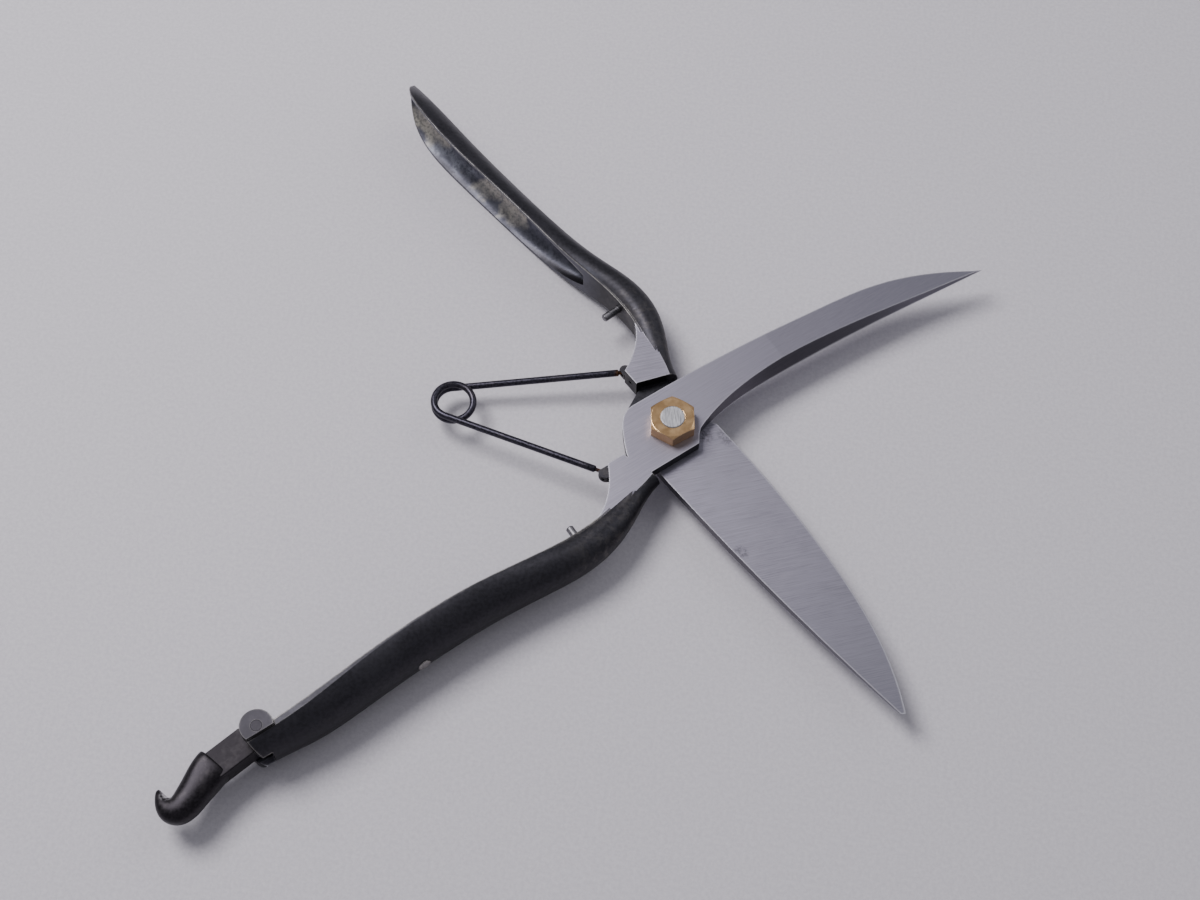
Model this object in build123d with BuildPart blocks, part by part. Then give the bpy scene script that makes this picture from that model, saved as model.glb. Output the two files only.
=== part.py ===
from build123d import *
import os
from math import acos, cos, degrees, hypot, pi, radians, sin, sqrt

# Topiary shears: two forged halves crossing on one bolt, a torsion spring between the
# handles and a swinging latch. Millimetres, +Z up. The origin is on the bolt's axis, on the
# surface that the shears lie on, and +X runs along the centre line towards the blades.
# Each half is drawn as it lies when the shears are shut, in a frame that is then turned by
# half of the opening. The handle lies on side +1 (left of the centre line) or -1 (right).

# Overall
opening = 86.5
plate_thickness = 4.0
bolt_head_height = 7.0
running_gap = 0.1
mid_height = plate_thickness + bolt_head_height
half_opening = opening / 2

# Bolt and nut
bolt_diameter = 8.0
bolt_head_across_flats = 13.0
bolt_end_rise = 0.3
bolt_end_chamfer = 0.25
nut_across_flats = 14.0
nut_height = 5.0
nut_chamfer = 0.8
nut_turn = 39.4
bore_clearance = 0.05

# Blades
blade_length = 120.0
blade_width = 26.5
hook_blade_length = 123.4
hook_blade_back = 12.5
bevel_width = 3.2
tip_thickness = 1.8
taper_start = 45.0

# Pivot plates and the horns that meet when the shears are shut
plate_side = 13.0
plate_inner_side = 10.5
plate_corner = 10.4
plate_back = 16.4
ledge_distance = 18.16
ledge_angle = 159.9
stop_gap = 0.15
horn_inner = 18.0
horn_tip = 25.3

# Handles
grip_start = 45.0
handle_length = 166.0
latch_handle_length = 168.0
shoulder_half_height = 3.8
ridge_width = 0.7
latch_ridge_widening = 1.9
widening_start = 0.65
ground_gap = 0.35
lip_height = 1.0
back_wall = 2.6
hollow_start = 0.31
hollow_end = 0.97

# Studs that face each other inside the handles
stud_diameter = 2.6
stud_reach = 6.3
short_stud_reach = 3.7
stud_root = 3.0
stud_station = 47.3
stud_seat = 14.4

# Spring, and the lugs that hold its ends
wire_diameter = 2.3
coil_outer_diameter = 15.2
coil_centre = 72.8
layer_gap = 0.2
lug_station = 27.0
lug_offset = 1.6
lug_radius = 1.9
loose_lug_radius = 2.5
lug_cheek = 0.8
tang_diameter = 1.4
tang_gap = 0.25
slot_clearance = 0.1
pin_end_clearance = 0.1
swing_clearance = 0.2
loose_end_play = 1.0
horn_hole_diameter = 1.5
horn_hole_depth = 2.0
horn_hole_station = 22.3

# Latch
latch_station = 163.2
latch_offset = 17.5
ear_radius = 5.2
ear_thickness = 3.0
ear_crest = 2.2
end_rounding = 5.0
tail_slot_height = 7.6
latch_pin_diameter = 3.5
latch_eye_radius = 3.6
latch_side_gap = 0.15
link_thickness = 7.0
hook_thickness = 9.0
hook_chamfer = 2.2

# Leaf spring behind the latch, and its rivet
leaf_thickness = 0.8
leaf_height = 5.0
leaf_gap = 0.3
leaf_root_offset = 20.5
leaf_stub = 4.0
leaf_overlap = 1.0
rivet_station = 110.0
rivet_diameter = 4.2
rivet_shank_diameter = 2.6
rivet_head_depth = 1.2
rivet_head_rise = 0.3
rivet_end_rise = 0.4
fit_gap = 0.01

wire_radius = wire_diameter / 2
coil_radius = (coil_outer_diameter - wire_diameter) / 2
layer_height = wire_radius + layer_gap / 2
tang_radius = tang_diameter / 2
slot_half_height = tang_radius + slot_clearance

wide_frame = Plane.XY.rotated((0, 0, -half_opening))
hook_frame = Plane.XY.rotated((0, 0, half_opening))


def place(frame, x, y, z=0.0):
    """The global position of a point of a half, with z measured from the mating plane."""
    return frame.from_local_coords(Vector(x, y, mid_height + z))


def level(frame, z):
    """A horizontal plane of a half, at a height measured from the mating plane."""
    return frame.offset(mid_height + z)


# ---- plan outlines ---------------------------------------------------------------------

def ledge_point(along):
    """A point of the ledge, the step that clears the other half's turning plate."""
    normal = radians(ledge_angle)
    x = ledge_distance * cos(normal) + along * sin(normal)
    y = ledge_distance * sin(normal) - along * cos(normal)
    return x, y


def draw_plate_end(side):
    """The rounded end of a pivot plate, from the blade's back to the bolt's other side."""
    Spline(
        (-6.5, -side * plate_side),
        (-plate_corner, -side * (plate_side - 1.0)),
        (1.5 - plate_back, -side * 6.6),
        (-plate_back, -side * 3.6),
        (-horn_inner, -side * stop_gap),
    )
    Polyline(
        (-horn_inner, -side * stop_gap),
        (-horn_inner - 1.0, side * 3.0),
        (-horn_inner - 4.0, side * plate_inner_side),
        (3.4, side * plate_inner_side),
    )


def wide_plate_outline(inset, z):
    """The wide blade with its pivot plate; the cutting edge is set back by the inset."""
    half_width = blade_width / 2
    heel = (7.0, half_width)
    point = (blade_length - 2.0 * inset, -3.9 - 0.35 * inset)
    under_point = (point[0] - 1.3, -5.2 - 0.1 * inset)
    with BuildSketch(level(wide_frame, z)) as outline:
        with BuildLine():
            Spline(
                heel,
                (0.27 * blade_length, half_width + 0.2 - inset),
                (0.55 * blade_length, half_width - 2.0 - inset),
                (0.82 * blade_length - inset, half_width - 8.0 - inset),
                point,
            )
            ThreePointArc(point, (point[0] - 0.3, (point[1] + under_point[1]) / 2 - 0.2), under_point)
            Spline(
                under_point,
                (0.75 * blade_length, -8.2),
                (0.27 * blade_length, -12.1),
                (-6.5, -plate_side),
            )
            draw_plate_end(1)
            ThreePointArc((3.4, plate_inner_side), (4.9, plate_inner_side + 1.1), heel)
        make_face()
    return outline.sketch


def hook_plate_outline(inset, z):
    """The narrow curved blade with its pivot plate; the cutting edge is set back by the inset."""
    length = hook_blade_length
    point = (length - 2.0 * inset, -8.2)
    notch = (7.0, -6.2)
    with BuildSketch(level(hook_frame, z)) as outline:
        with BuildLine():
            Spline(
                (-6.5, plate_side),
                (0.16 * length, hook_blade_back),
                (0.52 * length, hook_blade_back - 3.2),
                (0.72 * length, hook_blade_back - 6.5),
                (0.86 * length, hook_blade_back - 12.7),
                point,
            )
            Spline(
                point,
                (0.84 * length, -6.4 + 0.25 * inset),
                (0.54 * length, -3.5 + 0.95 * inset),
                (0.33 * length, -2.5 + 0.9 * inset),
                (0.15 * length, -3.4 + 0.35 * inset),
                notch,
            )
            ThreePointArc(notch, (5.0, -8.3), (3.4, -plate_inner_side))
            draw_plate_end(-1)
        make_face()
    return outline.sketch


def shoulder_outline(frame, side):
    """The ground facet of a half: the horn, and the tongue on the handle's inner edge."""
    near = ledge_point(-5.9)
    far = ledge_point(5.2)
    with BuildSketch(level(frame, -plate_thickness)) as outline:
        with BuildLine():
            Line((near[0], side * stop_gap), (-horn_tip, side * stop_gap))
            Spline(
                (-horn_tip, side * stop_gap),
                (-28.4, side * 5.6),
                (-32.4, side * 10.2),
                (-36.8, side * 13.4),
                (3.0 - grip_start, side * 15.1),
            )
            Spline(
                (3.0 - grip_start, side * 15.1),
                (-30.3, side * 14.6),
                (far[0], side * far[1]),
            )
            Polyline(
                (far[0], side * far[1]),
                (near[0], side * near[1]),
                (near[0], side * stop_gap),
            )
        make_face()
    return outline.sketch


# ---- handles ---------------------------------------------------------------------------

def along_grip(length, share):
    """The distance from the bolt to a share of the grip."""
    return -(grip_start + share * (length - grip_start))


def stations(ridge, back, fractions, widening=0.0):
    """Pairs of points across a handle, with the half height there, which stays off the ground,
    and the width of the flat on the ridge, which can widen towards the handle's end."""
    for fraction in fractions:
        top = ridge.edge().position_at(fraction)
        foot = back.edge().position_at(fraction)
        half_height = min(top.Z - mid_height, mid_height - ground_gap)
        share = max(0.0, fraction - widening_start) / (1 - widening_start)
        flat = ridge_width + widening * share
        yield Vector(top.X, top.Y, mid_height), Vector(foot.X, foot.Y, mid_height), half_height, flat


def handle_section(inner, outer, half_height, flat):
    """A D section: straight inner side, flat ridges top and bottom, round back."""
    across = outer - inner
    plane = Plane(origin=inner, x_dir=across, z_dir=across.cross(Vector(0, 0, 1)))
    ridge = min(flat, across.length / 2)
    with BuildSketch(plane) as section:
        with BuildLine():
            Polyline((ridge, -half_height), (0, -half_height), (0, half_height), (ridge, half_height))
            ThreePointArc((ridge, half_height), (across.length, 0), (ridge, -half_height))
        make_face()
    return section.sketch


def hollow_section(inner, outer, half_height, flat, reach):
    """A section of the hollow, which opens through the handle's inner side."""
    across = (outer - inner).normalized()
    depth = ((outer - inner).length - back_wall) * reach
    height = (half_height - lip_height) * reach
    plane = Plane(origin=inner - across, x_dir=across, z_dir=across.cross(Vector(0, 0, 1)))
    with BuildSketch(plane) as section:
        with BuildLine():
            Polyline((1.0, -height), (0, -height), (0, height), (1.0, height))
            ThreePointArc((1.0, height), (1.0 + depth, 0), (1.0, -height))
        make_face()
    return section.sketch


with BuildLine() as wide_ridge:
    Spline(
        place(wide_frame, -16.4, 8.0, shoulder_half_height),
        place(wide_frame, -30.0, 12.4, shoulder_half_height),
        place(wide_frame, -grip_start, 14.4, 5.0),
        place(wide_frame, along_grip(handle_length, 0.19), 11.0, 8.0),
        place(wide_frame, along_grip(handle_length, 0.39), 8.2, 10.4),
        place(wide_frame, along_grip(handle_length, 0.65), 5.6, mid_height),
        place(wide_frame, along_grip(handle_length, 0.88), 5.6, 10.2),
        place(wide_frame, along_grip(handle_length, 0.96), 8.4, 6.6),
        place(wide_frame, along_grip(handle_length, 0.998), 12.7, 0.7),
    )

with BuildLine() as wide_back:
    Spline(
        place(wide_frame, -14.3, 13.7),
        place(wide_frame, -25.2, 18.3),
        place(wide_frame, -34.8, 23.0),
        place(wide_frame, -grip_start, 25.0),
        place(wide_frame, along_grip(handle_length, 0.19), 20.3),
        place(wide_frame, along_grip(handle_length, 0.38), 16.9),
        place(wide_frame, along_grip(handle_length, 0.65), 14.6),
        place(wide_frame, along_grip(handle_length, 1.0), 13.5),
    )

with BuildLine() as hook_ridge:
    Spline(
        place(hook_frame, -16.4, -8.0, shoulder_half_height),
        place(hook_frame, -30.0, -12.6, shoulder_half_height),
        place(hook_frame, -grip_start, -15.4, 5.0),
        place(hook_frame, along_grip(latch_handle_length, 0.15), -15.4, 7.4),
        place(hook_frame, along_grip(latch_handle_length, 0.35), -14.2, 10.2),
        place(hook_frame, along_grip(latch_handle_length, 0.6), -15.1, mid_height),
        place(hook_frame, along_grip(latch_handle_length, 0.85), -18.0, mid_height),
        place(hook_frame, along_grip(latch_handle_length, 1.02), -18.2, mid_height),
    )

with BuildLine() as hook_back:
    Spline(
        place(hook_frame, -14.3, -13.7),
        place(hook_frame, -25.2, -18.6),
        place(hook_frame, -34.8, -23.4),
        place(hook_frame, -grip_start, -26.2),
        place(hook_frame, along_grip(latch_handle_length, 0.15), -26.0),
        place(hook_frame, along_grip(latch_handle_length, 0.35), -24.4),
        place(hook_frame, along_grip(latch_handle_length, 0.6), -25.4),
        place(hook_frame, along_grip(latch_handle_length, 0.85), -26.8),
        place(hook_frame, along_grip(latch_handle_length, 1.02), -25.6),
    )

closed_fractions = (0.0, 0.08, 0.16, 0.24, 0.35, 0.47, 0.6, 0.73, 0.85, 0.93, 0.97, 1.0)
open_fractions = (0.0, 0.08, 0.16, 0.24, 0.35, 0.47, 0.6, 0.73, 0.87, 1.0)
hollow_sections = 9


def leaf_hollow(ridge, back):
    """The dished hollow of a handle with a closed tip: a long leaf."""
    shares = [(1 - cos(pi * index / (hollow_sections - 1))) / 2 for index in range(hollow_sections)]
    fractions = [hollow_start + (hollow_end - hollow_start) * share for share in shares]
    cuts = zip(shares, stations(ridge, back, fractions))
    return [hollow_section(*cut, sqrt(1 - (0.96 * abs(2 * share - 1)) ** 6)) for share, cut in cuts]


def open_hollow(ridge, back):
    """The hollow of the latch handle, which runs out through the handle's end."""
    shares = [index / (hollow_sections - 1) for index in range(hollow_sections)]
    fractions = [hollow_start + (1 - hollow_start) * share for share in shares]
    cuts = zip(shares, stations(ridge, back, fractions))
    return [hollow_section(*cut, sin(pi / 2 * min(1.0, 0.2 + 3 * share))) for share, cut in cuts]


# ---- features that both halves share ---------------------------------------------------

def add_lug(frame, side, radius, wire_level):
    """Two cheeks round a spring end, cut flat where the halves meet."""
    reach = slot_half_height + lug_cheek
    with BuildSketch(level(frame, wire_level - reach)) as cheek:
        with Locations((-lug_station, side * lug_offset)):
            Circle(radius)
        with Locations((-lug_station, side * (stop_gap - radius))):
            Rectangle(4 * radius, 2 * radius, mode=Mode.SUBTRACT)
    extrude(cheek.sketch, amount=2 * reach)


def cut_slot(frame, side, wire_level, play):
    """The slot between the cheeks, in which the spring's end swings."""
    margin = tang_radius + play
    deep = lug_offset + margin
    long = lug_station - horn_inner
    with BuildSketch(level(frame, wire_level - slot_half_height)) as slot:
        with Locations((margin - lug_station - long / 2, side * (deep / 2 - 1.0))):
            Rectangle(long, deep + 2.0)
    extrude(slot.sketch, amount=2 * slot_half_height, mode=Mode.SUBTRACT)


def cut_bolt_hole(frame):
    """The hole for the bolt."""
    with BuildSketch(level(frame, -mid_height)) as hole:
        Circle(bolt_diameter / 2 + bore_clearance)
    extrude(hole.sketch, amount=2 * mid_height, mode=Mode.SUBTRACT)


def stud_plane(frame, side, reach):
    """The plane of a stud's tip, facing into the handle."""
    tip = place(frame, -stud_station, side * (stud_seat - reach))
    return Plane(origin=tip, x_dir=frame.x_dir, z_dir=frame.y_dir * side)


def cut_taper(frame, side, tip):
    """Thins a blade from its full thickness to the tip, on the side away from the other."""
    plane = Plane(origin=place(frame, 0, 60), x_dir=frame.x_dir, z_dir=-frame.y_dir)
    with BuildSketch(plane) as wedge:
        with BuildLine():
            Polyline(
                (taper_start, side * plate_thickness),
                (tip, side * tip_thickness),
                (tip + 5, side * tip_thickness),
                (tip + 5, side * (plate_thickness + 1)),
                (taper_start, side * (plate_thickness + 1)),
                close=True,
            )
        make_face()
    extrude(wedge.sketch, amount=120, mode=Mode.SUBTRACT)


def cut_stud_hole(frame, side, reach):
    """The blind hole that a stud is pressed into."""
    with BuildSketch(stud_plane(frame, side, reach)) as hole:
        Circle(stud_diameter / 2 + fit_gap)
    extrude(hole.sketch, amount=reach + stud_root + fit_gap, mode=Mode.SUBTRACT)


# ---- wide-blade half: handle on the left -----------------------------------------------

horn_hole_plane = Plane(
    origin=place(wide_frame, -horn_hole_station, stop_gap),
    x_dir=wide_frame.x_dir,
    z_dir=wide_frame.y_dir,
)

with BuildPart() as wide_blade_half:
    loft([
        wide_plate_outline(bevel_width, -plate_thickness),
        wide_plate_outline(0, -running_gap / 2),
    ], ruled=True)
    cut_taper(wide_frame, -1, blade_length)
    extrude(shoulder_outline(wide_frame, 1), amount=2 * plate_thickness)
    loft([handle_section(*cut) for cut in stations(wide_ridge, wide_back, closed_fractions)])
    loft(leaf_hollow(wide_ridge, wide_back), mode=Mode.SUBTRACT)
    add_lug(wide_frame, 1, lug_radius, -layer_height)
    cut_slot(wide_frame, 1, -layer_height, swing_clearance)
    with BuildSketch(level(wide_frame, -plate_thickness)):
        with Locations((-lug_station, lug_offset)):
            Circle(tang_radius + pin_end_clearance)
    extrude(amount=plate_thickness - layer_height, mode=Mode.SUBTRACT)
    with BuildSketch(horn_hole_plane):
        Circle(horn_hole_diameter / 2)
    extrude(amount=horn_hole_depth, mode=Mode.SUBTRACT)
    cut_stud_hole(wide_frame, 1, stud_reach)
    cut_bolt_hole(wide_frame)


# ---- hook-blade half: handle on the right, with the latch's clevis ---------------------

latch_pin_place = (-latch_station, -latch_offset)
ear_start = mid_height - ear_thickness


def back_distance(frame, back, distance):
    """How far a handle's back stands from the centre line, at a distance from the bolt."""
    low, high = 0.0, 1.0
    for _ in range(30):
        middle = (low + high) / 2
        point = frame.to_local_coords(back.edge().position_at(middle))
        low, high = (middle, high) if -point.X < distance else (low, middle)
    return -point.Y


rivet_back = back_distance(hook_frame, hook_back, rivet_station)
rivet_plane = Plane(
    origin=place(hook_frame, -rivet_station, -rivet_back - rivet_head_rise),
    x_dir=hook_frame.x_dir,
    z_dir=hook_frame.y_dir,
)

with BuildPart() as hook_blade_half:
    loft([
        hook_plate_outline(0, running_gap / 2),
        hook_plate_outline(bevel_width, plate_thickness),
    ], ruled=True)
    cut_taper(hook_frame, 1, hook_blade_length)
    extrude(shoulder_outline(hook_frame, -1), amount=2 * plate_thickness)
    loft([
        handle_section(*cut)
        for cut in stations(hook_ridge, hook_back, open_fractions, latch_ridge_widening)
    ])
    loft(open_hollow(hook_ridge, hook_back), mode=Mode.SUBTRACT)
    with BuildSketch(level(hook_frame, -mid_height)):
        with BuildLine():
            Polyline(
                (-latch_handle_length, -latch_offset - 1),
                (-latch_handle_length, 0),
                (-latch_handle_length - end_rounding, 0),
                (-latch_handle_length - end_rounding, -latch_offset - 3 * end_rounding),
                (end_rounding - latch_handle_length, -latch_offset - 2 * end_rounding),
            )
            ThreePointArc(
                (end_rounding - latch_handle_length, -latch_offset - 2 * end_rounding),
                (1 - latch_handle_length, -latch_offset - end_rounding - 1),
                (-latch_handle_length, -latch_offset - 1),
            )
        make_face()
    extrude(amount=2 * mid_height, mode=Mode.SUBTRACT)
    with BuildSketch(level(hook_frame, -mid_height), level(hook_frame, ear_start)):
        with Locations(latch_pin_place):
            Circle(ear_radius)
        with Locations((-latch_station, -latch_offset - ear_crest - ear_radius)):
            Rectangle(3 * ear_radius, 2 * ear_radius, mode=Mode.SUBTRACT)
    extrude(amount=ear_thickness)
    with BuildSketch(level(hook_frame, -ear_start)):
        with Locations(latch_pin_place):
            Circle(latch_eye_radius + leaf_gap)
    extrude(amount=2 * ear_start, mode=Mode.SUBTRACT)
    with BuildSketch(level(hook_frame, -tail_slot_height / 2)):
        with Locations((-latch_handle_length, -latch_offset - end_rounding)):
            Rectangle(2 * end_rounding, 2 * end_rounding)
    extrude(amount=tail_slot_height, mode=Mode.SUBTRACT)
    with BuildSketch(level(hook_frame, -mid_height)):
        with Locations(latch_pin_place):
            Circle(latch_pin_diameter / 2 + fit_gap)
    extrude(amount=2 * mid_height, mode=Mode.SUBTRACT)
    with BuildSketch(rivet_plane):
        Circle(rivet_diameter / 2 + fit_gap)
    extrude(amount=rivet_head_depth + fit_gap, mode=Mode.SUBTRACT)
    with BuildSketch(rivet_plane):
        Circle(rivet_shank_diameter / 2 + fit_gap)
    extrude(amount=2 * back_wall, mode=Mode.SUBTRACT)
    add_lug(hook_frame, -1, loose_lug_radius, layer_height)
    cut_slot(hook_frame, -1, layer_height, loose_end_play)
    cut_stud_hole(hook_frame, -1, short_stud_reach)
    cut_bolt_hole(hook_frame)


# ---- bolt and nut ----------------------------------------------------------------------

nut_seat = mid_height + plate_thickness + bore_clearance
bolt_top = nut_seat + nut_height + bolt_end_rise

with BuildPart() as pivot_bolt:
    with BuildSketch():
        RegularPolygon(bolt_head_across_flats / 2, 6, major_radius=False)
    extrude(amount=bolt_head_height)
    chamfer(pivot_bolt.faces().sort_by(Axis.Z)[0].edges(), nut_chamfer / 2)
    with BuildSketch(Plane.XY.offset(bolt_head_height)):
        Circle(bolt_diameter / 2)
    extrude(amount=bolt_top - bolt_head_height)
    chamfer(pivot_bolt.faces().sort_by(Axis.Z)[-1].edges(), bolt_end_chamfer)

with BuildPart() as pivot_nut:
    with BuildSketch(Plane.XY.offset(nut_seat)):
        RegularPolygon(nut_across_flats / 2, 6, major_radius=False, rotation=nut_turn)
    extrude(amount=nut_height)
    with BuildSketch(Plane.XZ):
        with BuildLine():
            Polyline(
                (0, nut_seat),
                (nut_across_flats, nut_seat),
                (nut_across_flats / 2 + 4 * nut_chamfer, nut_seat + nut_height - 2.3 * nut_chamfer),
                (nut_across_flats / 2, nut_seat + nut_height),
                (0, nut_seat + nut_height),
                close=True,
            )
        make_face()
    revolve(axis=Axis.Z, mode=Mode.INTERSECT)
    with BuildSketch(Plane.XY.offset(nut_seat)):
        Circle(bolt_diameter / 2 + fit_gap)
    extrude(amount=nut_height, mode=Mode.SUBTRACT)


# ---- studs -----------------------------------------------------------------------------

def build_stud(frame, side, reach):
    """A plain pin with a chamfered tip, pressed into a handle's inner side."""
    with BuildPart() as stud:
        with BuildSketch(stud_plane(frame, side, reach)):
            Circle(stud_diameter / 2)
        extrude(amount=reach + stud_root)
        tip = stud.faces().sort_by_distance(stud_plane(frame, side, reach).origin)[0]
        chamfer(tip.edges(), stud_diameter / 8)
    return stud


upper_stud = build_stud(wide_frame, 1, stud_reach)
lower_stud = build_stud(hook_frame, -1, short_stud_reach)


# ---- spring ----------------------------------------------------------------------------

lug_point = place(wide_frame, -lug_station, lug_offset)
leg_span = hypot(lug_point.X + coil_centre, lug_point.Y)
leg_slope = degrees(acos((lug_point.X + coil_centre) / leg_span))
tangent_turn = leg_slope + degrees(acos(coil_radius / leg_span))


def build_leg(side, height, tang_length, bent_end):
    """One straight leg, with its share of the coil as a flat ring in a layer of its own. Its
    end is a thin tang; a bent tang turns down into the lug's hole, the other is only rounded."""
    level_height = mid_height + height
    end = Vector(lug_point.X, side * lug_point.Y, level_height)
    touch = Vector(
        coil_radius * cos(radians(tangent_turn)) - coil_centre,
        side * coil_radius * sin(radians(tangent_turn)),
        level_height,
    )
    along = (touch - end).normalized()
    shoulder = end + along * tang_length
    with BuildLine(Plane.XY.offset(level_height)) as wire:
        Line((shoulder.X, shoulder.Y), (touch.X, touch.Y))
        CenterArc((-coil_centre, 0), coil_radius, side * tangent_turn, side * (360 - tangent_turn))
    with BuildPart() as leg:
        with BuildSketch(Plane(origin=shoulder, z_dir=along)) as section:
            Circle(wire_radius)
        sweep(section.sketch, path=wire.line)
        with BuildSketch(Plane(origin=end, z_dir=along)) as tang:
            Circle(tang_radius)
        extrude(tang.sketch, amount=tang_length)
        with Locations(end):
            Sphere(tang_radius)
        if bent_end > 0:
            with BuildSketch(Plane(origin=end, z_dir=(0, 0, -1))) as turned_down:
                Circle(tang_radius)
            extrude(turned_down.sketch, amount=bent_end)
    return leg


spring_lower_leg = build_leg(-1, layer_height, loose_lug_radius + loose_end_play + tang_gap, 0)
spring_upper_leg = build_leg(
    1, -layer_height, lug_radius + tang_gap, slot_half_height + lug_cheek
)


# ---- latch -----------------------------------------------------------------------------

eye_height = 2 * (ear_start - latch_side_gap)

with BuildPart() as latch_hook:
    with BuildSketch(level(hook_frame, -hook_thickness / 2)):
        with BuildLine():
            Spline((-180.6, -11.4), (-184.2, -12.8), (-188.9, -15.7), (-192.4, -18.0), (-195.4, -18.9))
            Spline((-195.4, -18.9), (-195.9, -17.2), (-196.7, -14.1))
            Spline(
                (-196.7, -14.1),
                (-199.6, -16.8),
                (-200.6, -22.4),
                (-198.2, -27.2),
                (-193.0, -28.5),
                (-186.5, -26.2),
                (-177.4, -22.8),
            )
            Line((-177.4, -22.8), (-180.6, -11.4))
        make_face()
    extrude(amount=hook_thickness)
    chamfer(latch_hook.faces().filter_by(Axis.Z).edges(), hook_chamfer)
    with BuildSketch(level(hook_frame, -eye_height / 2)):
        with Locations(latch_pin_place):
            Circle(latch_eye_radius)
    extrude(amount=eye_height)
    with BuildSketch(level(hook_frame, -link_thickness / 2)):
        with BuildLine():
            Polyline(
                (-latch_station, -latch_offset - latch_eye_radius),
                (-latch_station + 2.0, -latch_offset + latch_eye_radius - 0.6),
                (-168.0, -12.2),
                (-182.6, -13.9),
                (-179.6, -22.9),
                close=True,
            )
        make_face()
    extrude(amount=link_thickness)
    with BuildSketch(level(hook_frame, -mid_height)):
        with Locations(latch_pin_place):
            Circle(latch_pin_diameter / 2 + bore_clearance)
    extrude(amount=2 * mid_height, mode=Mode.SUBTRACT)

with BuildPart() as latch_pin:
    with BuildSketch(level(hook_frame, fit_gap - mid_height)):
        with Locations(latch_pin_place):
            Circle(latch_pin_diameter / 2)
    extrude(amount=2 * (mid_height - fit_gap))


# ---- leaf spring and rivet --------------------------------------------------------------

leaf_end_offset = latch_offset + latch_eye_radius + leaf_gap


def leaf_side(shift):
    """One long side of the leaf spring; the shift is away from the hollow's bottom."""
    return [
        (leaf_stub - rivet_station, shift - leaf_root_offset),
        (-rivet_station, shift - leaf_root_offset),
        (-(rivet_station + latch_station) / 2, shift - (leaf_root_offset + leaf_end_offset) / 2 - 0.2),
        (-latch_station - leaf_overlap, shift - leaf_end_offset),
    ]


with BuildPart() as latch_leaf_spring:
    with BuildSketch(level(hook_frame, -leaf_height / 2)):
        with BuildLine():
            inner = Spline(*leaf_side(0))
            outer = Spline(*leaf_side(-leaf_thickness))
            Line(inner @ 0, outer @ 0)
            Line(inner @ 1, outer @ 1)
        make_face()
    extrude(amount=leaf_height)
    with BuildSketch(rivet_plane):
        Circle(rivet_shank_diameter / 2 + fit_gap)
    extrude(amount=rivet_back, mode=Mode.SUBTRACT)

with BuildPart() as leaf_spring_rivet:
    with BuildSketch(rivet_plane):
        Circle(rivet_diameter / 2)
    extrude(amount=rivet_head_depth)
    fillet(leaf_spring_rivet.faces().sort_by_distance(rivet_plane.origin)[0].edges(), rivet_head_rise)
    with BuildSketch(rivet_plane):
        Circle(rivet_shank_diameter / 2)
    extrude(amount=rivet_back + rivet_head_rise - leaf_root_offset + rivet_end_rise)


# ---- written parts ---------------------------------------------------------------------

pieces = {
    "wide_blade_half": wide_blade_half,
    "hook_blade_half": hook_blade_half,
    "pivot_bolt": pivot_bolt,
    "pivot_nut": pivot_nut,
    "upper_stud": upper_stud,
    "lower_stud": lower_stud,
    "spring_upper_leg": spring_upper_leg,
    "spring_lower_leg": spring_lower_leg,
    "latch_hook": latch_hook,
    "latch_pin": latch_pin,
    "latch_leaf_spring": latch_leaf_spring,
    "leaf_spring_rivet": leaf_spring_rivet,
}
os.makedirs("parts", exist_ok=True)
for name, piece in pieces.items():
    piece.part.label = name
    export_step(piece.part, f"parts/{name}.step")
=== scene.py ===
import math

import bmesh
import bpy
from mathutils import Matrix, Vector


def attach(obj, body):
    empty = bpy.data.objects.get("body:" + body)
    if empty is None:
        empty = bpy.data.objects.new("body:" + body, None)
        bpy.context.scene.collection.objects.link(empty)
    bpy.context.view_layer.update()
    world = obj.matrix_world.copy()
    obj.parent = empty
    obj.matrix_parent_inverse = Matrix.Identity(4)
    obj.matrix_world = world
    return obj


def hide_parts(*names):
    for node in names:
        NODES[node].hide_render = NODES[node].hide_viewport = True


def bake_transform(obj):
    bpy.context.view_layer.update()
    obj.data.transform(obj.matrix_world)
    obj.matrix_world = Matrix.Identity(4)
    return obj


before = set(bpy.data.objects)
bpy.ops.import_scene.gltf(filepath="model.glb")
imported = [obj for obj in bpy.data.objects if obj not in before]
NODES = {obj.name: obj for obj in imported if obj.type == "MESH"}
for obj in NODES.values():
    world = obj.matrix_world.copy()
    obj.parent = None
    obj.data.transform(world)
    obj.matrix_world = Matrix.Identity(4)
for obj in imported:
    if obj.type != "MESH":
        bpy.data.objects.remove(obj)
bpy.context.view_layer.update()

# Topiary shears. The CAD gives the two forged halves, the bolt, nut, studs, pin, leaf spring
# and rivet, and this script gives those their materials. It models the coiled spring wire and
# the latch itself, because their real shapes are rounder than their CAD solids. Lengths are
# millimetres until they are handed to Blender in metres.
#
# Each half has a frame of its own, in which it lies as it does when the blades are shut. At
# rest that frame is turned by HALF_OPENING about the bolt. "Along" is its x: 0 at the bolt,
# positive toward the blade's tip and negative toward the handle's end.

MM = 0.001
HALF_OPENING = math.radians(43.25)  # how far each half is turned from shut, at rest
MID = 11.0  # height of the plane in which the two plates meet
WIDE, HOOK = 1, -1  # the sides of the two halves
scene = bpy.context.scene


# ---- small helpers -----------------------------------------------------------------------

def link_object(obj):
    scene.collection.objects.link(obj)
    return obj


def to_world(point, side):
    """A point of one half's own frame, in the world at rest, in mm."""
    turn = -side * HALF_OPENING
    x = point[0] * math.cos(turn) - point[1] * math.sin(turn)
    y = point[0] * math.sin(turn) + point[1] * math.cos(turn)
    return Vector((x, y, MID + point[2]))


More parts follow.
